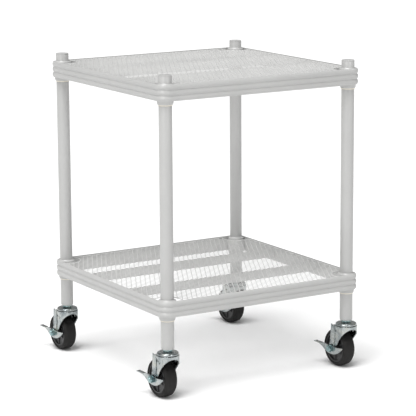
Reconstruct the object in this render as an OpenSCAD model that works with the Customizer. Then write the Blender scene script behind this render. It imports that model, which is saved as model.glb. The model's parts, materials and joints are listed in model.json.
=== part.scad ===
// Two-shelf mesh stand on four braked swivel casters.
// Row frame: +Z up, floor at Z = 0, origin under the middle of the bounding box, front towards -Y.

/* [Overall] */
// Distance between neighbouring post axes, the same in X and Y
post_pitch = 411; // [300:1:700]
// Underside of the lower shelf rim above the floor
lower_shelf_z = 162; // [150:1:250]
// Underside of the lower rim to underside of the upper rim
shelf_spacing = 408.5; // [250:0.5:700]
// Height of the post tops above the upper rim
post_stub = 16; // [12:1:40]

/* [Posts] */
// Outside diameter of the post tubes
post_d = 25.4; // [25:0.1:26]
// Wall of the post tubes
post_wall = 1.2; // [1:0.1:2]
// Thickness of the flange on the post caps
cap_flange = 2; // [1.5:0.5:4]
// Thickness of the flange on the threaded sockets
socket_flange = 3; // [3:0.5:5]
// Depth of the threaded sockets above their flange
socket_depth = 25; // [15:1:40]

/* [Shelf rims] */
// Height of the rolled rim band
rim_h = 31.5; // [28:0.5:40]
// Reach of the rim crests from the post axes
rim_reach = 20; // [19:0.1:22]
// Depth of the grooves between the ribs
rib_depth = 2.1; // [1:0.1:2.5]
// Thickness of the band at the grooves
rim_wall = 1.2; // [0.8:0.1:1.5]
// Number of ribs stacked on the band
rib_count = 3; // [2:1:4]

/* [Shelf decks] */
// Diamond openings across the deck
mesh_cells = 42; // [20:1:50]
// Length of a diamond, front to back
diamond_l = 20; // [16:1:30]
// Width of the strands between the diamonds
strand_w = 1.4; // [1:0.1:2]
// Half the thickness of the expanded sheet
strand_t = 0.8; // [0.6:0.1:1.2]
// Top of the mesh below the top of the rim
mesh_drop = 1.7; // [1:0.1:4]
// Radius of the mesh cut-out round each post
notch_r = 28; // [24:0.5:32]
// Height of the two bars under the mesh
crossbar_h = 19; // [12:0.5:22]
// Thickness of the bars under the mesh
crossbar_t = 2.5; // [2:0.5:6]
// Distance of each bar from the middle of the shelf
crossbar_y = 77; // [50:1:110]

/* [Corner collars] */
// Depth of the collar below the rim
collar_drop = 7.5; // [6:0.5:10]
// Height of the collar above the rim
collar_rise = 0.5; // [0.5:0.5:6]
// Rise and drop of the split sleeve past the collar
sleeve_lip = 1.5; // [1:0.1:2.5]

/* [Casters] */
// Wheel diameter
wheel_d = 75; // [70:1:78]
// Tread width
wheel_w = 27; // [25:1:28]
// Distance from the swivel axis back to the axle
trail = 22; // [18:1:24]
// Balls in the swivel race
ball_count = 14; // [8:1:16]
// Spokes in each wheel
spoke_count = 6; // [5:1:8]
// Axle bolt diameter
axle_d = 8; // [6:1:8]

/* [Hidden] */
$fn = 64;
corners = ["front_left", "front_right", "rear_left", "rear_right"];
sides = ["front", "right", "rear", "left"];
caster_parts = ["stem", "race", "balls", "fork", "axle", "brake_bracket", "brake_lever",
                "wheel_hub", "wheel_tyre"];

gap = 0.05;                                // sliding gap between pieces of one assembly
turn_gap = 0.3;                            // gap between pieces that turn past each other
post_r = post_d / 2;
post_off = post_pitch / 2;                 // post axes from the middle of the stand
upper_shelf_z = lower_shelf_z + shelf_spacing;
post_top = upper_shelf_z + rim_h + post_stub;
post_foot = 98;                          // bottom of the post sockets, top of the caster's hex

// Rim section
rib_h = rim_h / rib_count;
rib_r = (pow(rib_h / 2, 2) + pow(rib_depth, 2)) / (2 * rib_depth);
groove_u = rim_reach - rib_depth;          // groove bottoms, measured out from the post axis
inner_u = groove_u - rim_wall;             // inside face of the band

// Expanded sheet
panel_half = post_off + inner_u - gap;
diamond_w = 2 * panel_half / mesh_cells;
strand_lean = atan(diamond_w / diamond_l); // degrees from the Y axis
strand_pitch = diamond_w * cos(strand_lean);
border_w = 2;                              // plain edge of the sheet
mesh_top = rim_h - mesh_drop;

// Collars and sleeves
sleeve_bore = post_r + gap;
sleeve_r_low = post_r + 2;
sleeve_r_high = post_r + 1.5;
collar_skirt_r = rim_reach - 1.1;
collar_r = inner_u - 0.3;                  // clear of the rails that run past it

// Caster heights and radii
axle_z = wheel_d / 2;
hub_bore = 6.1;
hub_half = wheel_w / 2 + 1;
arm_in = hub_half + 1.5;                   // inside faces of the fork arms
arm_t = 2.5;
arm_out = arm_in + arm_t;
crown_r = 22;
crown_front = 11;                          // where the arms meet the round front of the crown
crown_z = 81.4;                            // underside of the fork crown
track_z = crown_z + 4.5;                   // ball track on the crown
race_r = 21;
race_z = crown_z + 6.7;                    // lower edge of the upper race
bracket_t = 1.5;
strap_y = 11.3;                            // front edge of the bracket
strap_w = 12.4;
bracket_in = arm_out + gap * 2;
lever_in = bracket_in + bracket_t + turn_gap;
lever_t = 2;
lever_out = lever_in + lever_t;
pedal_w = 8;                               // width of the pedal that is bent out from the lever
pedal_reach = 68;                          // pedal tip behind the swivel axis
bolt_head = 5;

// Middle of the bounding box, which the origin stands under
stand_x = (lever_out + pedal_w - max(crown_r, arm_out + gap * 2 + bolt_head)) / 2;
stand_y = (crown_r - max(pedal_reach, trail + wheel_d / 2)) / 2;

steel_grey = [0.78, 0.78, 0.77];
mesh_grey = [0.82, 0.82, 0.81];
zinc = [0.66, 0.69, 0.70];
rubber_black = [0.06, 0.06, 0.06];
sleeve_ivory = [0.86, 0.83, 0.78];

// ---- placing -------------------------------------------------------------------------------

// Post axis of each corner: x and y signs
function corner_sign(i) = [i % 2 == 0 ? -1 : 1, i < 2 ? -1 : 1];

module at_post(i) {
    s = corner_sign(i);
    translate([stand_x + s[0] * post_off, stand_y + s[1] * post_off, 0]) children();
}

module at_each_post() {
    for (i = [0:3]) at_post(i) children();
}

module at_shelf(z) {
    translate([stand_x, stand_y, z]) children();
}

// ---- posts ---------------------------------------------------------------------------------

module post(i) {
    at_post(i) color(steel_grey) difference() {
        translate([0, 0, post_foot + socket_flange])
            cylinder(r = post_r, h = post_top - cap_flange - post_foot - socket_flange);
        translate([0, 0, post_foot])
            cylinder(r = post_r - post_wall, h = post_top - post_foot);
    }
}

module post_caps() {
    plug_depth = 12;
    color(steel_grey) at_each_post() translate([0, 0, post_top - cap_flange]) {
        chamfer = 0.6;
        cylinder(r = post_r, h = cap_flange - chamfer);
        translate([0, 0, cap_flange - chamfer]) cylinder(r1 = post_r, r2 = post_r - chamfer, h = chamfer);
        translate([0, 0, -plug_depth]) cylinder(r = post_r - post_wall - gap, h = plug_depth);
    }
}

module post_sockets() {
    chamfer = 1.5;
    color(steel_grey) at_each_post() translate([0, 0, post_foot]) difference() {
        union() {
            cylinder(r1 = post_r - chamfer, r2 = post_r, h = chamfer);
            translate([0, 0, chamfer]) cylinder(r = post_r, h = socket_flange - chamfer);
            translate([0, 0, socket_flange]) cylinder(r = post_r - post_wall - gap, h = socket_depth);
        }
        translate([0, 0, -1]) cylinder(r = stem_r + gap, h = socket_flange + socket_depth + 2);
    }
}

// ---- shelves -------------------------------------------------------------------------------

// Band section: a thin flat back with stacked round ribs; X is the distance out from the post axis
module rim_section() {
    intersection() {
        translate([inner_u, 0]) square([rim_reach - inner_u, rim_h]);
        union() {
            translate([inner_u, 0]) square([rim_wall, rim_h]);
            for (i = [0:rib_count - 1])
                translate([rim_reach - rib_r, (i + 0.5) * rib_h]) circle(r = rib_r, $fn = 96);
        }
    }
}

// One straight length of the band, side 0 at the front and on round to the right, rear and left
module rail(z, side) {
    color(steel_grey) at_shelf(z) rotate([0, 0, 90 * side - 90])
        translate([post_off, post_off - gap, 0]) rotate([90, 0, 0])
            linear_extrude(post_pitch - 2 * gap) rim_section();
}

// Corner piece: a quarter turn of the band round a tapered collar with a skirt below and a neck above
module corner_pieces(z) {
    neck = rim_h + collar_rise;
    color(steel_grey) for (i = [0:3]) at_post(i) translate([0, 0, z]) {
        rotate_extrude() polygon([
            [sleeve_r_low + gap, -collar_drop],
            [sleeve_r_low + 1.1, -collar_drop],
            [sleeve_r_low + 1.3, -collar_drop + 4],
            [collar_r, -1.2],
            [collar_r, rim_h],
            [sleeve_r_high + 0.7, neck],
            [sleeve_r_high + gap, neck],
        ]);
        rotate([0, 0, [180, 270, 90, 0][i]]) rotate_extrude(angle = 90) {
            rim_section();
            translate([collar_r - 1, 0]) square([inner_u - collar_r + 1.5, rim_h]);
            polygon([[collar_r - 1, -2], [collar_r + 0.4, -1.6], [collar_skirt_r, 0], [collar_r - 1, 0]]);
        }
    }
}

// Two tapered half sleeves that wedge between each post and its collar
module sleeves(z) {
    split = 1; // degrees open on each side of a half
    color(sleeve_ivory) at_each_post() translate([0, 0, z]) for (half = [0, 180])
        rotate([0, 0, half + split]) rotate_extrude(angle = 180 - 2 * split) polygon([
            [sleeve_bore, -collar_drop - sleeve_lip],
            [sleeve_r_low, -collar_drop - sleeve_lip],
            [sleeve_r_low, -collar_drop],
            [sleeve_r_high, rim_h + collar_rise],
            [sleeve_bore, rim_h + collar_rise],
        ]);
}

module crossbars(z) {
    length = 2 * panel_half;
    color(steel_grey) at_shelf(z) for (side = [-1, 1])
        translate([-length / 2, side * crossbar_y - crossbar_t / 2, mesh_top - 2 * strand_t - crossbar_h])
            cube([length, crossbar_t, crossbar_h]);
}

// One set of parallel strands of the expanded sheet, with its edge and the rings round the posts
module strand_layer(lean) {
    count = ceil(panel_half * sqrt(2) / strand_pitch);
    run = panel_half * 1.5;
    difference() {
        union() {
            difference() {
                square(2 * panel_half, center = true);
                intersection() {
                    square(2 * (panel_half - border_w), center = true);
                    rotate([0, 0, lean]) for (i = [-count:count])
                        translate([i * strand_pitch + strand_w / 2, -run])
                            square([strand_pitch - strand_w, 2 * run]);
                }
            }
            intersection() {
                square(2 * panel_half, center = true);
                for (x = [-1, 1], y = [-1, 1])
                    translate([x * post_off, y * post_off]) circle(r = notch_r + border_w);
            }
        }
        for (x = [-1, 1], y = [-1, 1])
            translate([x * post_off, y * post_off]) circle(r = notch_r);
    }
}

module mesh_right_strands(z) {
    color(mesh_grey) at_shelf(z) translate([0, 0, mesh_top - strand_t])
        linear_extrude(strand_t) strand_layer(-strand_lean);
}

module mesh_left_strands(z) {
    color(mesh_grey) at_shelf(z) translate([0, 0, mesh_top - 2 * strand_t])
        linear_extrude(strand_t) strand_layer(strand_lean);
}

// ---- casters, each drawn about its own swivel axis ------------------------------------------

stem_r = 5;
stem_len = 22;
hex_h = 4.2;
hex_r = 17 / sqrt(3);                      // 17 mm across flats
shank_r = 6;
rivet_r = 8.5;
rivet_h = 2.6;
race_top = post_foot - hex_h;
ball_r = 2.3;
ball_ring = 15.6;
ball_z = track_z + gap + ball_r;

module caster_stem() {
    color(zinc) {
        translate([0, 0, post_foot]) cylinder(r = stem_r, h = stem_len);
        translate([0, 0, race_top]) cylinder(r = hex_r, h = hex_h, $fn = 6);
        translate([0, 0, crown_z - 0.1]) cylinder(r = shank_r, h = race_top - crown_z + 0.1);
        translate([0, 0, crown_z - 0.1 - rivet_h]) cylinder(r = rivet_r, h = rivet_h);
    }
}

// Pressed upper race: a dished washer with a turned-down edge
module caster_race() {
    ceiling = ball_z + ball_r + 0.1;
    edge_t = 1.5;
    color(zinc) rotate_extrude() polygon([
        [shank_r + gap, race_top - gap], [11.5, race_top - gap], [14, race_top - 0.7], [18.6, race_top - 1],
        [20.4, race_top - 2.2], [race_r, race_top - 4], [race_r, race_z], [race_r - edge_t, race_z],
        [race_r - edge_t, ceiling - 1], [18.4, ceiling], [12, ceiling], [shank_r + gap, ceiling + 1],
    ]);
}

module caster_balls() {
    color(zinc) for (i = [0:ball_count - 1]) rotate([0, 0, i * 360 / ball_count])
        translate([ball_ring, 0, ball_z]) sphere(r = ball_r);
}

// Side view of a fork arm, X towards the rear and Y up: upright rear edge, sloping front edge, round boss
module arm_outline() {
    boss_r = 8;
    polygon([
        [26, crown_z + 1], [-crown_front, crown_z + 1], [-crown_front, 69], [-7, 64], [0, 56], [6, 46],
        [trail - boss_r + 0.5, axle_z + 2], [trail, axle_z - 2], [trail + boss_r - 0.5, axle_z + 2],
    ]);
    translate([trail, axle_z]) circle(r = boss_r);
}

// Draws a side view as a plate standing across X, from x to x + t
module side_plate(x, t) {
    translate([x, 0, 0]) rotate([90, 0, 90]) linear_extrude(t) children();
}

// Wall that joins the arms round the front of the crown, arched underneath
module fork_front() {
    arch_r = 19.3;
    wall_h = 12;
    difference() {
        intersection() {
            translate([0, 0, crown_z - wall_h]) cylinder(r = crown_r, h = wall_h + 1);
            translate([-arm_out, -crown_r - 1, crown_z - wall_h])
                cube([2 * arm_out, crown_r + 1 - crown_front, wall_h + 1]);
        }
        translate([0, 0, crown_z - wall_h - 1]) cylinder(r = crown_r - arm_t, h = wall_h + 3);
        translate([0, 0, crown_z - arch_r]) rotate([90, 0, 0]) cylinder(r = arch_r, h = 3 * crown_r);
    }
}

module caster_fork() {
    crown_t = 2.6;
    crown_back = 26;
    lip_z = crown_z + 5.4;                 // top of the lip round the ball track
    color(zinc) difference() {
        union() {
            rotate_extrude() polygon([
                [0, crown_z], [20, crown_z], [crown_r, crown_z + 1], [crown_r, lip_z], [19.6, lip_z],
                [18, track_z], [12, track_z], [11, crown_z + crown_t], [0, crown_z + crown_t],
            ]);
            translate([-arm_out, -crown_front, crown_z]) cube([2 * arm_out, crown_back + crown_front, crown_t]);
            for (x = [-arm_out, arm_in]) side_plate(x, arm_t) arm_outline();
            fork_front();
        }
        translate([0, 0, crown_z - 1]) cylinder(r = shank_r + turn_gap, h = 10);
        translate([-arm_out - 1, trail, axle_z]) rotate([0, 90, 0])
            cylinder(r = axle_d / 2 + gap, h = 2 * arm_out + 2);
        translate([-arm_out - 20, strap_y - 0.4, crown_z - 2]) cube([20, 20, 10]);
    }
}

// Bolt with its head on the right, a lock nut outside the lever on the left, and a bush between the arms
module caster_axle() {
    nut_t = 6;
    nut_x = -lever_out - turn_gap - nut_t;
    across_r = 13 / sqrt(3);
    color(zinc) translate([0, trail, axle_z]) {
        translate([nut_x - 1, 0, 0]) rotate([0, 90, 0])
            cylinder(r = axle_d / 2, h = arm_out + 2 * gap - nut_x + 1);
        translate([arm_out + 2 * gap, 0, 0]) rotate([0, 90, 0]) cylinder(r = across_r, h = bolt_head, $fn = 6);
        translate([nut_x, 0, 0]) rotate([0, 90, 0]) difference() {
            cylinder(r = across_r, h = nut_t, $fn = 6);
            translate([0, 0, -1]) cylinder(r = axle_d / 2 + gap, h = nut_t + 2);
        }
        translate([-arm_in + gap, 0, 0]) rotate([0, 90, 0]) difference() {
            cylinder(r = hub_bore - gap, h = 2 * (arm_in - gap));
            translate([0, 0, -1]) cylinder(r = axle_d / 2 + gap, h = 2 * arm_in + 2);
        }
    }
}

// Upright strap outside the left arm that carries the brake
module caster_brake_bracket() {
    x = -bracket_in - bracket_t;
    prong_z = 87.8;
    color(zinc) difference() {
        union() {
            side_plate(x, bracket_t) polygon([
                [strap_y, prong_z], [strap_y + 3.4, prong_z], [strap_y + 3.4, prong_z - 2.5],
                [strap_y + 8.4, prong_z - 2.5], [strap_y + 8.4, prong_z], [strap_y + strap_w, prong_z],
                [strap_y + strap_w + 1, 60], [trail + 6.5, axle_z + 2], [trail - 6.5, axle_z + 2], [strap_y, 60],
            ]);
            translate([x, trail, axle_z]) rotate([0, 90, 0]) cylinder(r = 7.5, h = bracket_t);
        }
        translate([x - 1, trail, axle_z]) rotate([0, 90, 0]) cylinder(r = axle_d / 2 + gap, h = bracket_t + 2);
    }
}

// Boat-shaped lever that turns on the axle bolt, with a pedal bent out at its tail
module caster_brake_lever() {
    bow_r = 51;                            // radius of the lever's lower edge
    bow_z = 76.8;                          // height of that arc's centre
    deck_z = 44.5;                         // straight upper edge
    ear_r = 8;                             // round ear that carries the bore
    pedal_y = 48;
    pedal_t = 1.6;
    pedal_z = 43;
    color(zinc) difference() {
        union() {
            side_plate(-lever_out, lever_t) intersection() {
                translate([trail - 1.4, bow_z]) circle(r = bow_r, $fn = 128);
                translate([-40, 0]) square([120, deck_z]);
            }
            side_plate(-lever_out, lever_t) polygon([
                [40, 40], [pedal_y, pedal_z + pedal_t], [pedal_reach, pedal_z + pedal_t],
                [pedal_reach, pedal_z - 1.5], [52, 36],
            ]);
            translate([-lever_out, trail, axle_z]) rotate([0, 90, 0]) cylinder(r = ear_r, h = lever_t);
            translate([-lever_out - pedal_w, pedal_y, pedal_z])
                cube([pedal_w + 1, pedal_reach - pedal_y, pedal_t]);
        }
        translate([-lever_out - 1, trail, axle_z]) rotate([0, 90, 0])
            cylinder(r = axle_d / 2 + 2 * gap, h = lever_t + 2);
    }
}

hub_rim_r = 29.5;

module caster_wheel_hub() {
    boss_r = 11;
    web_half = 8;
    rim_half = 12;
    spoke_half = 10.5;
    color(rubber_black) translate([0, trail, axle_z]) rotate([0, 90, 0]) difference() {
        union() {
            translate([0, 0, -hub_half]) cylinder(r = boss_r, h = 2 * hub_half);
            translate([0, 0, -web_half]) cylinder(r = hub_rim_r - 1, h = 2 * web_half);
            difference() {
                translate([0, 0, -rim_half]) cylinder(r = hub_rim_r, h = 2 * rim_half);
                translate([0, 0, -rim_half - 1]) cylinder(r = hub_rim_r - 3, h = 2 * rim_half + 2);
            }
            for (i = [0:spoke_count - 1]) rotate([0, 0, i * 360 / spoke_count])
                translate([boss_r - 1, -1.5, -spoke_half]) cube([hub_rim_r - boss_r - 1, 3, 2 * spoke_half]);
        }
        translate([0, 0, -hub_half - 1]) cylinder(r = hub_bore, h = 2 * hub_half + 2);
    }
}

// Tyre with a slightly crowned tread and round shoulders
module caster_wheel_tyre() {
    crown_arc = 60;
    shoulder = 4;
    wheel_r = wheel_d / 2;
    inner = hub_rim_r + gap;
    shoulder_r = wheel_r - 0.5 - shoulder; // centre of the shoulder arcs
    flat = wheel_w / 2 - shoulder;
    color(rubber_black) translate([0, trail, axle_z]) rotate([0, 90, 0]) rotate_extrude() union() {
        translate([inner, -wheel_w / 2]) square([shoulder_r - inner, wheel_w]);
        intersection() {
            translate([inner, -flat]) square([wheel_r, 2 * flat]);
            translate([wheel_r - crown_arc, 0]) circle(r = crown_arc, $fn = 96);
        }
        for (side = [-1, 1]) intersection() {
            translate([shoulder_r - 1, side * flat - shoulder]) square([shoulder + 2, 2 * shoulder]);
            translate([shoulder_r, side * flat]) circle(r = shoulder);
        }
    }
}

module caster_part(name) {
    if (name == "stem") caster_stem();
    if (name == "race") caster_race();
    if (name == "balls") caster_balls();
    if (name == "fork") caster_fork();
    if (name == "axle") caster_axle();
    if (name == "brake_bracket") caster_brake_bracket();
    if (name == "brake_lever") caster_brake_lever();
    if (name == "wheel_hub") caster_wheel_hub();
    if (name == "wheel_tyre") caster_wheel_tyre();
}

// ---- nodes ---------------------------------------------------------------------------------

for (i = [0:3]) post(i);
post_caps();
post_sockets();
for (i = [0:3]) rail(lower_shelf_z, i);
for (i = [0:3]) rail(upper_shelf_z, i);
corner_pieces(lower_shelf_z);  // lower_corners
corner_pieces(upper_shelf_z);  // upper_corners
sleeves(lower_shelf_z);  // lower_sleeves
sleeves(upper_shelf_z);  // upper_sleeves
crossbars(lower_shelf_z);  // lower_crossbars
crossbars(upper_shelf_z);  // upper_crossbars
mesh_right_strands(lower_shelf_z);  // lower_mesh_right_strands
mesh_right_strands(upper_shelf_z);  // upper_mesh_right_strands
mesh_left_strands(lower_shelf_z);  // lower_mesh_left_strands
mesh_left_strands(upper_shelf_z);  // upper_mesh_left_strands
for (i = [0:3]) for (p = caster_parts)
    at_post(i) caster_part(p);
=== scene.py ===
"""Looks of a two-shelf mesh stand on four braked swivel casters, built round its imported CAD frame."""
import json
import math

import bmesh
import bpy
from mathutils import Matrix, Vector
from mathutils.geometry import tessellate_polygon


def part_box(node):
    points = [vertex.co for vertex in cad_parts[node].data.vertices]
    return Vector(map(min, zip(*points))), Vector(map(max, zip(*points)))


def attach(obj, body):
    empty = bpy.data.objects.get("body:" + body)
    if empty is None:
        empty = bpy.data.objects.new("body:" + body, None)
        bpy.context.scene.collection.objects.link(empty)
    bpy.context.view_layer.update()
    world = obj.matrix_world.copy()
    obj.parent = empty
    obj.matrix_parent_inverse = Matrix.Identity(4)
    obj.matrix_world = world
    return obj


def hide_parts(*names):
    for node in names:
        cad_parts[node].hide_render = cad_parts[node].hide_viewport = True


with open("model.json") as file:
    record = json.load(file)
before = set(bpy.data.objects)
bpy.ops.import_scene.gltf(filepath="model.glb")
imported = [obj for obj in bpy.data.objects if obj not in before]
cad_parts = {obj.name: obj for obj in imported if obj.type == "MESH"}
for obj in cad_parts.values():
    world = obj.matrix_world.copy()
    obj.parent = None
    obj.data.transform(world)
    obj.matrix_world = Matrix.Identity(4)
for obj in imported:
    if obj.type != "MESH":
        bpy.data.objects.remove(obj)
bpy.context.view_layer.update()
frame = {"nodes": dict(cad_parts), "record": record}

MM = 0.001
CORNERS = ("front_left", "front_right", "rear_left", "rear_right")
SIDES = ("front", "right", "rear", "left")
SHELVES = ("lower", "upper")


# ---- places, all read from the frame -----------------------------------------------------------

def middle(node):
    """Centre of a node's box, in metres."""
    low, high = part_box(node)
    return (Vector(low) + Vector(high)) / 2


def box_mm(node, origin=Vector()):
    """The node's lowest and highest corner in millimetres, measured from origin."""
    low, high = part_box(node)
    return (Vector(low) - origin) / MM, (Vector(high) - origin) / MM


ON_FLOOR = Vector((1, 1, 0))                              # times a place, drops it to the floor
POSTS = [middle(corner + "_post") * ON_FLOOR / MM for corner in CORNERS]
POST_LOW, POST_HIGH = box_mm("front_left_post")
POST_R = (POST_HIGH.x - POST_LOW.x) / 2
SOCKET_FOOT = box_mm("post_sockets")[0].z
REACH = box_mm("upper_right_rail")[1].x - POSTS[1].x      # outside of the band, out from the post axes

# Caster sizes are measured from the swivel axis and the floor
AXIS = middle("front_left_race") * ON_FLOOR
RACE_LOW, RACE_HIGH = box_mm("front_left_race", AXIS)
FORK_HIGH = box_mm("front_left_fork", AXIS)[1]
TYRE_LOW, TYRE_HIGH = box_mm("front_left_wheel_tyre", AXIS)
HUB_HIGH = box_mm("front_left_wheel_hub", AXIS)[1]
STEM_LOW, STEM_HIGH = box_mm("front_left_stem", AXIS)
STRAP_LOW, STRAP_HIGH = box_mm("front_left_brake_bracket", AXIS)
LEVER_LOW, LEVER_HIGH = box_mm("front_left_brake_lever", AXIS)
AXLE_LOW, AXLE_HIGH = box_mm("front_left_axle", AXIS)
AXLE = (TYRE_LOW + TYRE_HIGH) / 2                         # middle of the wheel, straight behind the axis
ARM_OUT = -STRAP_HIGH.x - 0.1                             # outside faces of the fork arms
ARM_T = 2.5
CROWN = STEM_LOW.z + 2.7                                  # underside of the fork crown
CROWN_T = 2.6

# Sizes of hidden and bought-in parts, in millimetres
TUBE_WALL = 1.2
STEM_R = 5
PIN_R = 6                                                 # king pin that the fork swivels on
BOLT_R = 4
HEX_ACROSS_FLATS = 13                                     # head and nut of the axle bolt


# ---- camera, light and floor -------------------------------------------------------------------

def add_camera():
    """The photograph's viewing angle: degrees round and above the stand, and metres away from it."""
    azimuth, elevation, roll = math.radians(-31.32), math.radians(11.22), math.radians(-0.34)
    distance = 3.970
    off_middle = Vector((0.0079, -0.004))                 # the view is centred just beside the stand's axis
    target = Vector((*(middle("post_caps").xy + off_middle), 0.3124))
    back = Vector((math.sin(azimuth) * math.cos(elevation), -math.cos(azimuth) * math.cos(elevation),
                   math.sin(elevation)))
    level = Vector((math.cos(azimuth), math.sin(azimuth), 0))
    up = back.cross(level)
    right = level * math.cos(roll) + up * math.sin(roll)
    up = back.cross(right)
    data = bpy.data.cameras.new("camera")
    data.lens = 171.3
    data.sensor_width = 36
    data.clip_end = 100
    cam = bpy.data.objects.new("camera", data)
    bpy.context.collection.objects.link(cam)
    turn = Matrix((right, up, back)).transposed().to_4x4()
    cam.matrix_world = Matrix.Translation(target + back * distance) @ turn
    bpy.context.scene.camera = cam
    bpy.context.scene.view_settings.view_transform = "Standard"


def area_light(name, place, target, size, watts):
    """A round soft box, aimed at target."""
    data = bpy.data.lights.new(name, "AREA")
    data.shape = "DISK"
    data.size = size
    data.energy = watts
    lamp = bpy.data.objects.new(name, data)
    bpy.context.collection.objects.link(lamp)
    lamp.location = place
    lamp.rotation_euler = (Vector(target) - Vector(place)).to_track_quat("-Z", "Y").to_euler()


def add_light():
    """A white studio: a soft sun overhead and two weak round boxes on the viewer's side."""
    world = bpy.data.worlds.new("studio")
    bpy.context.scene.world = world
    world.use_nodes = True
    light, seen = 0.34, 1.0                               # strength as a light, and as the backdrop
    background = world.node_tree.nodes["Background"]
    background.inputs["Color"].default_value = (1, 1, 1, 1)
    path = world.node_tree.nodes.new("ShaderNodeLightPath")
    strength = world.node_tree.nodes.new("ShaderNodeMapRange")
    strength.inputs["To Min"].default_value = light
    strength.inputs["To Max"].default_value = seen
    world.node_tree.links.new(path.outputs["Is Camera Ray"], strength.inputs["Value"])
    world.node_tree.links.new(strength.outputs["Result"], background.inputs["Strength"])
    data = bpy.data.lights.new("overhead", "SUN")
    data.energy = 3.4
    data.angle = math.radians(36)
    lamp = bpy.data.objects.new("overhead", data)
    bpy.context.collection.objects.link(lamp)
    lamp.rotation_euler = Vector((0.34, 0.20, -1)).to_track_quat("-Z", "Y").to_euler()
    area_light("left_box", (-2.6, -1.5, 1.5), (0, 0, 0.35), 1.2, 16)
    area_light("front_box", (0.4, -3.0, 1.2), (0, 0, 0.3), 1.0, 9)


def add_floor():
    """A plain pale floor, wide enough to meet the white backdrop."""
    half = 30
    corners = [(-half, -half, 0), (half, -half, 0), (half, half, 0), (-half, half, 0)]
    mesh = bpy.data.meshes.new("floor")
    mesh.from_pydata(corners, [], [(0, 1, 2, 3)])
    floor = bpy.data.objects.new("floor", mesh)
    bpy.context.collection.objects.link(floor)
    mat = bpy.data.materials.new("floor")
    mat.use_nodes = True
    shader = mat.node_tree.nodes["Principled BSDF"]
    shader.inputs["Base Color"].default_value = (0.88, 0.88, 0.88, 1)
    shader.inputs["Roughness"].default_value = 0.9
    mesh.materials.append(mat)


# ---- materials ---------------------------------------------------------------------------------

class Nodes:
    """Builds one material's node tree. Sizes of noise are given as features in a metre."""

    def __init__(self, name, **sockets):
        self.mat = bpy.data.materials.new(name)
        self.mat.use_nodes = True
        self.tree = self.mat.node_tree
        self.shader = self.tree.nodes["Principled BSDF"]
        for key, value in sockets.items():
            self.shader.inputs[key.replace("_", " ")].default_value = value
        self.place = self.tree.nodes.new("ShaderNodeTexCoord").outputs["Object"]

    def new(self, kind, **sockets):
        node = self.tree.nodes.new("ShaderNode" + kind)
        for key, value in sockets.items():
            node.inputs[key].default_value = value
        return node

    def link(self, out, into):
        self.tree.links.new(out, into)

    def noise(self, scale, detail, stretch=None):
        node = self.new("TexNoise", Scale=scale, Detail=detail, Roughness=0.55)
        if stretch:
            mapping = self.new("Mapping")
            mapping.inputs["Scale"].default_value = stretch
            self.link(self.place, mapping.inputs["Vector"])
            self.link(mapping.outputs["Vector"], node.inputs["Vector"])
        else:
            self.link(self.place, node.inputs["Vector"])
        return node.outputs["Fac"]

    def ramp(self, value, stops):
        """Colour ramp: stops are (position, colour or grey value)."""
        node = self.new("ValToRGB")
        ends = node.color_ramp.elements
        while len(ends) < len(stops):
            ends.new(0.5)
        for end, (at, colour) in zip(ends, stops):
            end.position = at
            end.color = (colour, colour, colour, 1) if isinstance(colour, float) else (*colour, 1)
        self.link(value, node.inputs["Fac"])
        return node.outputs["Color"]

    def darken(self, factor, colour, shade):
        """Multiplies the colour by the shade, as much as factor says."""
        node = self.tree.nodes.new("ShaderNodeMix")
        node.data_type = "RGBA"
        node.blend_type = "MULTIPLY"
        amount, first, second, result = node.inputs[0], node.inputs[6], node.inputs[7], node.outputs[2]
        amount.default_value = factor
        self.link(colour, first)
        self.link(shade, second)
        return result

    def bump(self, *layers):
        """layers are (height socket, strength, distance in metres)."""
        previous = None
        for height, strength, distance in layers:
            node = self.new("Bump", Strength=strength, Distance=distance)
            self.link(height, node.inputs["Height"])
            if previous:
                self.link(previous, node.inputs["Normal"])
            previous = node.outputs["Normal"]
        self.link(previous, self.shader.inputs["Normal"])


def powder_coat(name, light, dark, rough=0.36):
    """Satin powder coat: orange-peel bump, faint cloudiness, and slightly duller patches."""
    n = Nodes(name, Roughness=rough, Coat_Weight=0.25, Coat_Roughness=0.25)
    cloud = n.noise(14, 4)
    speck = n.noise(900, 2)
    colour = n.ramp(cloud, [(0.3, dark), (0.7, light)])
    colour = n.darken(0.035, colour, n.ramp(speck, [(0.4, 0.35), (0.6, 1.0)]))
    n.link(colour, n.shader.inputs["Base Color"])
    patches = n.ramp(n.noise(60, 5), [(0.3, rough - 0.06), (0.7, rough + 0.08)])
    n.link(patches, n.shader.inputs["Roughness"])
    n.bump((n.noise(420, 2), 0.12, 0.0003), (speck, 0.05, 0.0001))
    return n.mat


def zinc(name, light, dark, tint, rough):
    """Bright zinc plate: bluish and straw-coloured clouds over steel with fine drawing lines."""
    n = Nodes(name, Metallic=1.0, Roughness=rough)
    cloud = n.noise(55, 4)
    colour = n.ramp(cloud, [(0.3, dark), (0.52, light), (0.75, tint)])
    fine = n.noise(1200, 3)
    colour = n.darken(0.12, colour, n.ramp(fine, [(0.35, 0.4), (0.65, 1.0)]))
    n.link(colour, n.shader.inputs["Base Color"])
    patches = n.ramp(n.noise(180, 5), [(0.3, rough - 0.08), (0.7, rough + 0.14)])
    n.link(patches, n.shader.inputs["Roughness"])
    lines = n.noise(500, 3, stretch=(1, 1, 0.06))
    n.bump((lines, 0.10, 0.0001), (fine, 0.06, 0.0001))
    return n.mat


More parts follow.
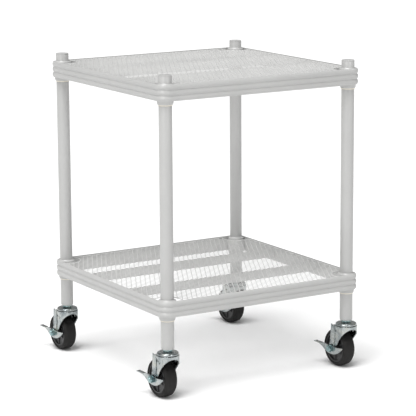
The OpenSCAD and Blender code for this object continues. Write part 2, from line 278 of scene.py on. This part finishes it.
def black_rubber(name):
    """Moulded rubber with a soft sheen, faint dust and a fine pebble."""
    n = Nodes(name, Roughness=0.58, Specular_IOR_Level=0.2)
    cloud = n.noise(40, 5)
    colour = n.ramp(cloud, [(0.25, (0.008, 0.0078, 0.0075)), (0.75, (0.017, 0.0162, 0.0155))])
    n.link(colour, n.shader.inputs["Base Color"])
    dust = n.ramp(n.noise(90, 5), [(0.3, 0.50), (0.7, 0.68)])
    n.link(dust, n.shader.inputs["Roughness"])
    n.bump((n.noise(700, 3), 0.16, 0.0002), (n.noise(70, 3), 0.10, 0.0006))
    return n.mat


def moulded_plastic(name, light, dark, rough=0.42):
    """Satin moulded plastic: a faint cloudiness, rubbed patches and a fine spark-eroded grain."""
    n = Nodes(name, Roughness=rough)
    colour = n.ramp(n.noise(30, 4), [(0.3, dark), (0.7, light)])
    n.link(colour, n.shader.inputs["Base Color"])
    patches = n.ramp(n.noise(150, 5), [(0.3, rough - 0.08), (0.7, rough + 0.1)])
    n.link(patches, n.shader.inputs["Roughness"])
    n.bump((n.noise(1500, 2), 0.10, 0.0001), (n.noise(240, 2), 0.06, 0.0002))
    return n.mat


def grey(value):
    """A neutral grey, a touch warm."""
    return (value, value, value * 0.985)


MATERIALS = {
    "grey_paint": powder_coat("grey_paint", grey(0.45), grey(0.42)),
    "bar_paint": powder_coat("bar_paint", grey(0.50), grey(0.47)),
    # mesh_paint is the frame's grey coat painted lighter: a painted highlight for the overhead light on the
    # up-facing deck
    "mesh_paint": powder_coat("mesh_paint", grey(0.58), grey(0.54), 0.4),
    "sleeve_plastic": moulded_plastic("sleeve_plastic", (0.74, 0.70, 0.60), (0.68, 0.63, 0.53)),
    "zinc_plate": zinc("zinc_plate", (0.42, 0.45, 0.45), (0.22, 0.25, 0.26), (0.50, 0.50, 0.46), 0.24),
    "bolt_zinc": zinc("bolt_zinc", (0.34, 0.46, 0.46), (0.20, 0.30, 0.32), (0.44, 0.50, 0.45), 0.2),
    "ball_steel": zinc("ball_steel", (0.62, 0.62, 0.62), (0.5, 0.5, 0.5), (0.68, 0.67, 0.64), 0.12),
    "hub_plastic": moulded_plastic("hub_plastic", (0.030, 0.030, 0.031), (0.018, 0.018, 0.019)),
    "tyre_rubber": black_rubber("tyre_rubber"),
}
SLOT_OF = {part["node"]: part["material_slot"] for part in frame["record"]["subparts"]}


# ---- mesh helpers: shapes are drawn in millimetres ----------------------------------------------

def rounded(points, radius, steps=4):
    """Rounds each corner of a closed outline. radius is one number, or one for each point."""
    radii = radius if isinstance(radius, (list, tuple)) else [radius] * len(points)
    straight = math.radians(89.5)
    out = []
    for i, point in enumerate(points):
        here = Vector(point)
        if radii[i] <= 0:
            out.append(here)
            continue
        before = Vector(points[i - 1]) - here
        after = Vector(points[(i + 1) % len(points)]) - here
        half = before.angle(after) / 2
        if half > straight:
            out.append(here)
            continue
        # A corner takes just under half of each edge, so that neighbours never meet
        cut = min(radii[i] / math.tan(half), before.length * 0.49, after.length * 0.49)
        start, end = here + before.normalized() * cut, here + after.normalized() * cut
        for k in range(steps + 1):
            t = k / steps
            out.append(start * (1 - t) ** 2 + here * 2 * t * (1 - t) + end * t ** 2)
    return out


def angles(start, end, steps):
    """Evenly spaced turns from start to end degrees, in radians."""
    return [math.radians(start + (end - start) * k / steps) for k in range(steps + 1)]


def arc(centre, radius, start, end, steps):
    """Points on a circle, from start to end degrees."""
    return [Vector((centre[0] + radius * math.cos(a), centre[1] + radius * math.sin(a)))
            for a in angles(start, end, steps)]


def circle(centre, radius, steps=32):
    return arc(centre, radius, 0, 360 - 360 / steps, steps - 1)


def skin(bm, ring_a, ring_b):
    """Joins two closed rings of equally many corners with faces."""
    for i in range(len(ring_a)):
        j = (i + 1) % len(ring_a)
        bm.faces.new((ring_a[i], ring_a[j], ring_b[j], ring_b[i]))


def add_rings(bm, rings, closed_path=False):
    """Skins a row of closed rings. The row joins up with its start, or else has a cap at each end."""
    rows = [[bm.verts.new(p) for p in ring] for ring in rings]
    for a, b in zip(rows, rows[1:]):
        skin(bm, a, b)
    if closed_path:
        skin(bm, rows[-1], rows[0])
    else:
        bm.faces.new(rows[0])
        bm.faces.new(rows[-1])


def lathe(bm, profile, centre=(0, 0, 0), axis="Z", segments=64):
    """Turns a closed profile of (radius, height) about an axis. A radius of 0 makes one point."""
    def at(radius, height, angle):
        c, s = radius * math.cos(angle), radius * math.sin(angle)
        return Vector((c, s, height) if axis == "Z" else (height, c, s)) + Vector(centre)

    columns = []
    for radius, height in profile:
        count = 1 if radius < 1e-6 else segments
        columns.append([bm.verts.new(at(radius, height, math.tau * k / segments)) for k in range(count)])
    for i, a in enumerate(columns):
        b = columns[(i + 1) % len(columns)]
        if len(a) == 1 and len(b) == 1:
            continue
        for k in range(segments):
            n = (k + 1) % segments
            ring = [a[k % len(a)], a[n % len(a)], b[n % len(b)], b[k % len(b)]]
            bm.faces.new([v for j, v in enumerate(ring) if v not in ring[:j]])


def tube(bm, path, radius, closed=False, flat=1):
    """A round wire along a level path. Below 1, flat makes it lower than it is wide."""
    sides = 8
    rings = []
    last = len(path) - 1
    for i, p in enumerate(path):
        before = path[i - 1] if i > 0 or closed else p
        after = path[(i + 1) % len(path)] if i < last or closed else p
        across = (after - before).cross(Vector((0, 0, 1))).normalized() * radius
        up = Vector((0, 0, radius * flat))
        turns = [math.tau * k / sides for k in range(sides)]
        rings.append([p + across * math.cos(t) + up * math.sin(t) for t in turns])
    add_rings(bm, rings, closed_path=closed)


def inset(loop, distance):
    """Moves an anticlockwise outline inwards, or a clockwise one outwards."""
    sharpest = 0.35                                       # keeps a sharp corner from moving too far
    out = []
    for i, p in enumerate(loop):
        before = (p - loop[i - 1]).normalized()
        after = (loop[(i + 1) % len(loop)] - p).normalized()
        left = Vector((-before.y - after.y, before.x + after.x)).normalized()
        lean = max(sharpest, left.dot(Vector((-before.y, before.x))))
        out.append(p + left * distance / lean)
    return out


def turned(points, anticlockwise):
    """The outline as vectors, running the way asked for."""
    loop = [Vector(p) for p in points]
    area = sum(loop[i - 1].x * p.y - p.x * loop[i - 1].y for i, p in enumerate(loop))
    return loop if (area > 0) == anticlockwise else loop[::-1]


# Places for plate: a side view that is thick along X, and a front view that is thick along Y
ACROSS_X = Matrix(((0, 0, 1, 0), (1, 0, 0, 0), (0, 1, 0, 0), (0, 0, 0, 1)))
ACROSS_Y = Matrix(((1, 0, 0, 0), (0, 0, 1, 0), (0, 1, 0, 0), (0, 0, 0, 1)))


def plate(bm, outline, low, high, holes=(), place=Matrix(), edge=0.4):
    """A flat plate with soft edges: drawn in local X and Y, and running from low to high in local Z."""
    loops = [turned(outline, True)] + [turned(hole, False) for hole in holes]
    steps = [(edge, low), (edge * 0.3, low + edge * 0.3), (0, low + edge),
             (0, high - edge), (edge * 0.3, high - edge * 0.3), (edge, high)]
    bottom, top = [], []
    for loop in loops:
        rows = [[bm.verts.new(place @ Vector((p.x, p.y, z))) for p in inset(loop, d)] for d, z in steps]
        for a, b in zip(rows, rows[1:]):
            skin(bm, a, b)
        bottom += rows[0]
        top += rows[-1]
    triangles = tessellate_polygon([[Vector((*p, 0)) for p in inset(loop, edge)] for loop in loops])
    for face in (bottom, top):
        for a, b, c in triangles:
            bm.faces.new((face[a], face[b], face[c]))


def box(bm, low, high, edge):
    outline = [(low[0], low[1]), (high[0], low[1]), (high[0], high[1]), (low[0], high[1])]
    plate(bm, rounded(outline, edge, 3), low[2], high[2], edge=edge)


def add_piece(name, build, body, slot, nodes, at=(0, 0, 0)):
    """Makes one piece from what build draws in millimetres, moved to at, riding on a body."""
    bm = bmesh.new()
    build(bm)
    bmesh.ops.translate(bm, vec=at, verts=bm.verts)
    bmesh.ops.scale(bm, vec=(MM, MM, MM), verts=bm.verts)
    bmesh.ops.recalc_face_normals(bm, faces=bm.faces)
    mesh = bpy.data.meshes.new(name)
    bm.to_mesh(mesh)
    bm.free()
    mesh.shade_smooth()
    mesh.set_sharp_from_angle(angle=math.radians(35))
    mesh.materials.append(MATERIALS[slot])
    piece = bpy.data.objects.new(name, mesh)
    bpy.context.collection.objects.link(piece)
    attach(piece, body)
    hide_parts(*nodes)


# ---- posts -------------------------------------------------------------------------------------

def build_posts():
    """The four tubes, a cap in each top and a threaded socket in each foot."""
    low, high, top = POST_LOW.z, POST_HIGH.z, box_mm("post_caps")[1].z
    bore = POST_R - TUBE_WALL
    flange_r = POST_R - 0.1
    wall = rounded([(bore, low), (POST_R, low), (POST_R, high), (bore, high)], 0.2, 2)
    for corner, post in zip(CORNERS, POSTS):
        add_piece(corner + "_tube", lambda bm: lathe(bm, wall, post),
                  "stand", "grey_paint", [corner + "_post"])

    def caps(bm):
        """A flat cap with a faint dome, and a short plug below it."""
        plug_r, plug_end, seat = bore - 0.1, high - 6, high + 0.1
        profile = [(0, plug_end), (plug_r, plug_end), (plug_r, seat), (flange_r, seat), (flange_r, top),
                   (0, top + 0.4)]
        for post in POSTS:
            lathe(bm, rounded(profile, [0, 0, 0, 0.2, 0.5, 0]), post)

    def sockets(bm):
        """A flange under the tube, and a bored plug up inside it."""
        thread_r, plug_r, plug_end, seat = STEM_R + 0.1, bore - 0.2, low + 12, low - 0.15
        profile = [(thread_r, SOCKET_FOOT), (bore, SOCKET_FOOT), (flange_r, SOCKET_FOOT + 1.4),
                   (flange_r, seat), (plug_r, seat), (plug_r, plug_end), (thread_r, plug_end)]
        for post in POSTS:
            lathe(bm, rounded(profile, [0.3, 0.6, 0.8, 0.2, 0, 0, 0], 3), post)

    add_piece("caps", caps, "stand", "grey_paint", ["post_caps"])
    add_piece("sockets", sockets, "stand", "grey_paint", ["post_sockets"])


# ---- shelf rims --------------------------------------------------------------------------------

RIBS = 3
RIB_DEPTH = 2.1
BAND_WALL = 1.2
BAND_INSIDE = REACH - RIB_DEPTH - BAND_WALL               # out from the post axes


def around_posts(out):
    """A closed path round all four posts: a quarter turn at each, out millimetres from its axis."""
    turns = ((0, 180), (1, 270), (3, 0), (2, 90))
    return [p for i, start in turns for p in arc(POSTS[i].xy, out, start, start + 90, 10)]


def band_section(low, high):
    """Round ribs outside and a flat wall inside, as (distance out from a post's axis, height)."""
    pitch = (high - low) / RIBS
    radius = (pitch ** 2 / 4 + RIB_DEPTH ** 2) / (2 * RIB_DEPTH)
    half = math.degrees(math.asin(pitch / 2 / radius)) * 0.94   # short of the groove, to round it
    corner = 0.4
    section = []
    for i in range(RIBS):
        section += arc((REACH - radius, low + (i + 0.5) * pitch), radius, -half, half, 6)
    return section + [Vector((BAND_INSIDE + corner, high)), Vector((BAND_INSIDE, high - corner)),
                      Vector((BAND_INSIDE, low + corner)), Vector((BAND_INSIDE + corner, low))]


def build_rim(shelf):
    """The ribbed band right round a shelf, and the collar and split sleeve at each post."""
    rail_low, rail_high = box_mm(shelf + "_front_rail")
    low, high = rail_low.z, rail_high.z
    section = band_section(low, high)
    sleeve_foot = box_mm(shelf + "_sleeves")[0].z

    def band(bm):
        heights = [z for _, z in section]
        slices = zip(*[around_posts(out) for out, _ in section])
        add_rings(bm, [[Vector((*p, z)) for p, z in zip(ring, heights)] for ring in slices], closed_path=True)

    def collars(bm):
        """A skirt below the band that tapers in to the post, and a small flare above it."""
        skirt, bore, neck = low - 7.2, POST_R + 1, POST_R + 0.1
        outer = BAND_INSIDE + 0.3
        profile = [(bore, skirt), (POST_R + 1.7, skirt), (POST_R + 2.6, low - 4.5), (outer - 1.1, low - 0.8),
                   (outer, low + 0.6), (outer, high - 0.9), (POST_R + 1.2, high), (neck, high + 1.4),
                   (neck, high - 0.4), (bore, high - 0.4)]
        for post in POSTS:
            lathe(bm, rounded(profile, [0.2, 0.6, 2, 3, 0.8, 0.8, 1, 0, 0, 0]), post)

    def sleeves(bm):
        """Two thin half sleeves round each post, a little apart."""
        inner, outer, top = POST_R + 0.05, POST_R + 0.95, high - 0.5
        wall = rounded([(inner, sleeve_foot), (outer, sleeve_foot), (outer, top), (inner, top)], 0.3, 2)
        split = 2
        for post in POSTS:
            for start in (0, 180):
                turns = angles(start + split, start + 180 - split, 32)
                add_rings(bm, [[post + Vector((r * math.cos(t), r * math.sin(t), z)) for r, z in wall]
                               for t in turns])

    add_piece(shelf + "_band", band, "stand", "grey_paint", [shelf + "_%s_rail" % side for side in SIDES])
    add_piece(shelf + "_collars", collars, "stand", "grey_paint", [shelf + "_corners"])
    add_piece(shelf + "_split_sleeves", sleeves, "stand", "sleeve_plastic", [shelf + "_sleeves"])


# ---- shelf decks -------------------------------------------------------------------------------

DIAMONDS = 42                                             # across the sheet
DIAMOND_L = 20                                            # front to back
HOOP_R = 29                                               # edge of the cut-out round each post


def clip_strand(centre, along, half, posts):
    """Start and end of a strand inside the sheet, cut short where it meets the hoop round a post."""
    start, end = -math.inf, math.inf
    for c, d in zip(centre, along):
        cuts = sorted(((-half - c) / d, (half - c) / d))
        start, end = max(start, cuts[0]), min(end, cuts[1])
    for post in posts:
        nearest = (post - centre).dot(along)
        off = (centre + along * nearest - post).length
        if off < HOOP_R and start < end:
            reach = math.sqrt(HOOP_R ** 2 - off ** 2)
            if nearest > (start + end) / 2:
                end = min(end, nearest - reach)
            else:
                start = max(start, nearest + reach)
    return start, end


def build_deck(shelf):
    """A sheet of expanded steel: two sets of crossing strands in a plain edge, on two flat bars."""
    low, high = box_mm(shelf + "_mesh_left_strands")
    top = box_mm(shelf + "_mesh_right_strands")[1].z
    centre = Vector((low.x + high.x, low.y + high.y)) / 2
    half = (high.x - low.x) / 2
    lean = math.atan(2 * half / DIAMONDS / DIAMOND_L)
    pitch = 2 * half / DIAMONDS * math.cos(lean)
    posts = [post.xy - centre for post in POSTS]
    far_post = posts[3]
    strand_r, edge_r = 0.75, 1
    edge = half - edge_r

    def strands(bm):
        count = math.ceil(half * math.sqrt(2) / pitch)
        for side, z in ((1, top - 0.55), (-1, top - 0.8)):
            along = Vector((side * math.sin(lean), math.cos(lean)))
            across = Vector((along.y, -along.x))
            for i in range(-count, count + 1):
                start, end = clip_strand(across * i * pitch, along, edge, posts)
                if end - start > 2:
                    ends = [centre + across * i * pitch + along * t for t in (start, end)]
                    tube(bm, [Vector((*p, z)) for p in ends], strand_r, flat=0.75)

    def plain_edge(bm):
        """The sheet's border, which turns in round each post."""
        gap = edge - far_post.x
        bend = math.degrees(math.atan2(math.sqrt(HOOP_R ** 2 - gap ** 2), gap))
        path = []
        for sx, sy, turn in ((-1, -1, 0), (1, -1, 90), (1, 1, 180), (-1, 1, 270)):
            hoop = (centre.x + sx * far_post.x, centre.y + sy * far_post.y)
            path += arc(hoop, HOOP_R, turn + 180 - bend, turn + bend - 90, 14)
        tube(bm, rounded([Vector((*p, top - 0.75)) for p in path], 3, 3), edge_r, closed=True, flat=0.7)

    def sheet(bm):
        strands(bm)
        plain_edge(bm)

    def bars(bm):
        bar_low, bar_high = box_mm(shelf + "_crossbars")
        bar_t = 2.5
        for y in (bar_low.y, bar_high.y - bar_t):
            box(bm, (bar_low.x, y, bar_low.z), (bar_high.x, y + bar_t, bar_high.z), 0.5)

    add_piece(shelf + "_expanded_sheet", sheet, "stand", "mesh_paint",
              [shelf + "_mesh_right_strands", shelf + "_mesh_left_strands"])
    add_piece(shelf + "_bars", bars, "stand", "bar_paint", [shelf + "_crossbars"])


# ---- casters, drawn from the swivel axis and the floor ------------------------------------------

def hexagon(corner_r):
    return rounded(circle((0, 0), corner_r, 6), 0.5, 3)


def stem(bm):
    """Threaded shank, hex boss, and the king pin's riveted end under the fork."""
    shoulder = RACE_HIGH.z + 1
    rivet_r = 8.5
    plate(bm, hexagon(STEM_HIGH.x), RACE_HIGH.z + 0.05, SOCKET_FOOT, edge=0.5)
    shank = [(0, SOCKET_FOOT - 1), (STEM_R, SOCKET_FOOT - 1), (STEM_R, STEM_HIGH.z), (0, STEM_HIGH.z)]
    lathe(bm, shank, segments=32)
    rivet = [(0, STEM_LOW.z), (rivet_r, STEM_LOW.z), (rivet_r, CROWN - 0.1), (PIN_R, CROWN - 0.1),
             (PIN_R, shoulder), (0, shoulder)]
    lathe(bm, rounded(rivet, [0, 1.8, 0.2, 0.2, 0, 0]))


def race(bm):
    """Dished disc with a rolled rim and a turned-down edge, hollow below for the balls."""
    r, top, low = RACE_HIGH.x, RACE_HIGH.z, RACE_LOW.z
    bore, wall = PIN_R + 0.05, 1.5
    profile = [(bore, top), (11.5, top), (14, top - 0.65), (r - 2.4, top - 0.95), (r - 0.6, top - 2.1),
               (r, top - 3.9), (r, low), (r - wall, low), (r - wall, low + 1.6), (18.2, low + 2.6),
               (12, low + 2.6), (bore, low + 3.6)]
    lathe(bm, rounded(profile, [0.2, 1, 1, 1.6, 1.2, 0.8, 0.4, 0.4, 0.6, 0.6, 1, 0]), segments=96)


def folded_sheet(out, shoulder, bend):
    """One face of a sheet folded over both fork arms: up the left, across, and down the right."""
    leg = shoulder - 4
    return ([Vector((-out, leg))] + arc((bend - out, shoulder), bend, 180, 90, 6)
            + arc((out - bend, shoulder), bend, 90, 0, 6) + [Vector((out, leg))])


def upright_section(outline, turn):
    """Stands an outline of (distance out, height) upright, turned about the swivel axis."""
    return [(u * math.cos(turn), u * math.sin(turn), z) for u, z in outline]


def front_wall_section(turn):
    """One slice of the arched wall that joins the fork arms round the front of the crown."""
    r, inner = FORK_HIGH.x, FORK_HIGH.x - ARM_T
    arch_r, edge = 19.3, 0.5
    low = CROWN - arch_r + math.sqrt(max(0, arch_r ** 2 - (r * math.cos(turn)) ** 2))
    outline = [(inner, low + edge), (inner + edge, low), (r - edge, low), (r, low + edge), (r, CROWN + 2),
               (inner, CROWN + 2)]
    return upright_section(outline, turn)


def shoulder_section(turn, facing):
    """One slice of the slope from the round crown down to the flat face of an arm."""
    r, flush = FORK_HIGH.x, ARM_OUT / math.cos(turn)
    foot = CROWN - 7
    outline = [(flush - 0.5, CROWN + 2), (flush - 0.5, foot), (flush, foot), (r, CROWN + 1.5),
               (r, CROWN + 2)]
    return upright_section(outline, turn + facing)


def fork_arms(bm):
    """Two tapering arms with a round boss at the axle, joined by a sheet folded over their tops."""
    bend, front, back = 4.5, -11, 26
    shoulder = CROWN + CROWN_T - bend
    inside = folded_sheet(ARM_OUT - ARM_T, shoulder, bend - ARM_T)
    plate(bm, folded_sheet(ARM_OUT, shoulder, bend) + inside[::-1], front, back, place=ACROSS_Y)
    y, z = AXLE.y, AXLE.z
    outline = rounded([(back, shoulder), (front, shoulder), (front, 68), (-7, 63.5), (0, 56), (6, 46),
                       (y - 8, z + 3), (y - 7.5, z - 8), (y + 7.5, z - 8), (y + 8, z + 2)],
                      [0, 0, 2, 10, 14, 12, 5, 7.5, 7.5, 8], 6)
    holes = [circle((y, z), BOLT_R + 0.1), circle((-1, 73), 1.9, 20)]
    for side in (-1, 1):
        inner, outer = sorted((side * (ARM_OUT - ARM_T), side * ARM_OUT))
        plate(bm, outline, inner, outer, holes, ACROSS_X)


def fork(bm):
    """Pressed fork: a round crown with a ball track, two arms, and an arched wall at the front."""
    r, lip, top = FORK_HIGH.x, FORK_HIGH.z, CROWN + CROWN_T
    bore, track = PIN_R + 0.3, CROWN + 4.5
    profile = [(bore, CROWN), (r - 2, CROWN), (r, CROWN + 1.2), (r, lip), (19.6, lip), (18, track),
               (12, track), (11, top), (bore, top)]
    lathe(bm, rounded(profile, [0.3, 1.5, 1.2, 0.5, 0.5, 0.6, 0.6, 0.6, 0.3]), segments=96)
    fork_arms(bm)
    add_rings(bm, [front_wall_section(turn) for turn in angles(-147, -33, 48)])
    spread = math.degrees(math.acos(ARM_OUT / r) - 0.01)  # just short of the crown's edge at the arm
    for facing in (0, math.pi):
        add_rings(bm, [shoulder_section(turn, facing) for turn in angles(-spread, spread, 32)])


def strap(bm):
    """Upright brake strap with two prongs at the top and a round end at the axle."""
    top, notch, front = STRAP_HIGH.z, STRAP_HIGH.z - 2.6, STRAP_LOW.y
    back, waist, end = front + 12.4, 60, 7.3
    y, z, foot = AXLE.y, AXLE.z, AXLE.z - end - 0.1
    outline = rounded([(front, top), (front + 3.4, top), (front + 3.4, notch), (front + 8.4, notch),
                       (front + 8.4, top), (back, top), (back + 1, waist), (y + end, z + 3),
                       (y + end, foot), (y - end, foot), (y - end, z + 3), (front, waist)],
                      [0.8, 0.8, 0.6, 0.6, 0.8, 0.8, 10, 5, end, end, 5, 10], 6)
    plate(bm, outline, STRAP_LOW.x, STRAP_HIGH.x, [circle((y, z), BOLT_R + 0.1)], ACROSS_X, 0.35)


def lever(bm):
    """A boat-shaped plate whose tail rises to a pedal that is bent outwards."""
    keel, keel_r = (AXLE.y - 1.4, 76.8), 51               # centre and radius of the lower edge
    deck, pedal_top, pedal_t, pedal_start, bend = 44.5, 44.6, 1.6, 48, 2.6
    inner, far, end = LEVER_HIGH.x, LEVER_LOW.x, LEVER_HIGH.y
    reach = math.degrees(math.acos((keel[1] - deck) / keel_r))
    hull = arc(keel, keel_r, 270 - reach + 3, 270 + reach - 16, 40)
    tail = [(end - 8, pedal_top - 6.5), (end - 0.6, pedal_top - 3), (end - 0.6, pedal_top - 1.5),
            (47.5, pedal_top - 1.5)]
    edge = [(40, deck - 0.5), (30, deck - 1.5), (12, deck - 2.5), (0, deck - 1.8)]
    outline = rounded([(-12, deck), (-17.5, deck + 0.3)] + hull + tail + edge,
                      [4, 2] + [0] * len(hull) + [6, 1.5, 0.5, 6, 8, 8, 8, 8], 5)
    plate(bm, outline, inner - 2, inner, [circle((AXLE.y, AXLE.z), BOLT_R + 0.2)], ACROSS_X, 0.45)

    low = pedal_top - bend
    root = low - 1.5
    upper = [Vector((inner, root)), Vector((inner, low))] + arc((inner - bend, low), bend, 0, 90, 6)[1:]
    lower = arc((inner - bend, low), bend - pedal_t, 90, 0, 6) + [Vector((inner - pedal_t, root))]
    tip = [Vector((far, pedal_top)), Vector((far, pedal_top - pedal_t))]
    plate(bm, upper + tip + lower, pedal_start, end, place=ACROSS_Y, edge=0.5)


def ring_x(bm, inner_r, outer_r, start, end, corner):
    """A washer or bush round the axle, from start to end along X."""
    profile = [(inner_r, start), (outer_r, start), (outer_r, end), (inner_r, end)]
    lathe(bm, rounded(profile, corner, 2), (0, AXLE.y, AXLE.z), "X", 40)


def axle(bm):
    """Hex bolt and washers, with a lock nut and the bolt's end outside the lever."""
    centre = (0, AXLE.y, AXLE.z)
    place = Matrix.Translation(centre) @ ACROSS_X
    corner_r = HEX_ACROSS_FLATS / math.sqrt(3)
    washer, head, nut, nut_t = ARM_OUT + 1.2, AXLE_HIGH.x, AXLE_LOW.x + 1, 5
    bush_end = ARM_OUT - ARM_T - 0.05
    bore = BOLT_R + 0.1
    plate(bm, hexagon(corner_r), washer, head, place=place, edge=0.6)
    ring_x(bm, bore, 8.2, ARM_OUT + 0.1, washer, 0.2)
    plate(bm, hexagon(corner_r), nut, nut + nut_t, place=place, edge=0.6)
    ring_x(bm, bore, 7.6, nut + nut_t, nut + nut_t + 1, 0.2)
    rod_r = BOLT_R - 0.05
    rod = [(0, AXLE_LOW.x), (rod_r, AXLE_LOW.x), (rod_r, head - 1), (0, head - 1)]
    lathe(bm, rounded(rod, [0, 0.7, 0, 0], 3), centre, "X", 32)
    ring_x(bm, BOLT_R + 0.05, 6.05, -bush_end, bush_end, 0.3)


def hub(bm):
    """Moulded hub: a barrel, a solid web with six spokes standing out of it, and a rim."""
    centre = (0, AXLE.y, AXLE.z)
    half, r = HUB_HIGH.x, HUB_HIGH.z - AXLE.z
    bore, barrel_r, web, rim = 6.1, 10.4, 9, 12.2
    barrel = [(bore, -half), (barrel_r, -half), (barrel_r + 1, 0), (barrel_r, half), (bore, half)]
    lathe(bm, rounded(barrel, [0.4, 0.8, 0, 0.8, 0.4], 3), centre, "X", 48)
    disc = [(8, -web), (r - 1, -web), (r - 1, web), (8, web)]
    lathe(bm, rounded(disc, 0.3, 2), centre, "X", 64)
    hoop = [(r - 3, -rim), (r, -rim), (r, rim), (r - 3, rim)]
    lathe(bm, rounded(hoop, [0.7, 0.3, 0.3, 0.7], 3), centre, "X", 96)
    spokes = 6
    root, tip, width = 9.5, r - 1.5, 11.5
    outline = rounded([(-width, root), (width, root), (width - 0.9, tip), (0.9 - width, tip)], 1, 3)
    for k in range(spokes):
        turn = Matrix.Translation(centre) @ Matrix.Rotation(math.tau * k / spokes, 4, "X") @ ACROSS_Y
        plate(bm, outline, -1.5, 1.5, place=turn, edge=0.5)


def tyre(bm):
    """Rubber tyre with a slightly crowned tread, round shoulders and a raised ring on each wall."""
    half, r = TYRE_HIGH.x, TYRE_HIGH.z - AXLE.z
    inner = HUB_HIGH.z - AXLE.z + 0.05
    wall = [(inner, half - 1.6), (inner + 1.2, half - 0.5), (inner + 3.2, half - 0.4), (r - 4, half),
            (r - 0.5, half - 4)]
    bends = [0.3, 0.8, 0.6, 4.5, 4.5]
    profile = [(u, -x) for u, x in wall] + [(r, 0)] + wall[::-1]
    lathe(bm, rounded(profile, bends + [30] + bends[::-1], 6), (0, AXLE.y, AXLE.z), "X", 128)


def build_caster(corner, post):
    for name, draw, body, slot, node in (
            ("hex_stem", stem, "stand", "bolt_zinc", "stem"),
            ("upper_race", race, "stand", "zinc_plate", "race"),
            ("pressed_fork", fork, corner + "_caster", "zinc_plate", "fork"),
            ("brake_strap", strap, corner + "_caster", "zinc_plate", "brake_bracket"),
            ("bolt_and_bush", axle, corner + "_caster", "bolt_zinc", "axle"),
            ("boat_lever", lever, corner + "_brake", "zinc_plate", "brake_lever"),
            ("spoked_hub", hub, corner + "_wheel", "hub_plastic", "wheel_hub"),
            ("tread", tyre, corner + "_wheel", "tyre_rubber", "wheel_tyre")):
        add_piece(corner + "_" + name, draw, body, slot, [corner + "_" + node], post)


def dress_cad_nodes():
    """Gives each CAD node the material of its slot. The balls are the ones that stay in sight."""
    for name, node in frame["nodes"].items():
        mat = MATERIALS[SLOT_OF[name]]
        if not node.material_slots:
            node.data.materials.append(mat)
        for each in node.material_slots:
            each.material = mat


add_camera()
add_light()
add_floor()
build_posts()
for shelf_name in SHELVES:
    build_rim(shelf_name)
    build_deck(shelf_name)
for corner_name, corner_post in zip(CORNERS, POSTS):
    build_caster(corner_name, corner_post)
dress_cad_nodes()
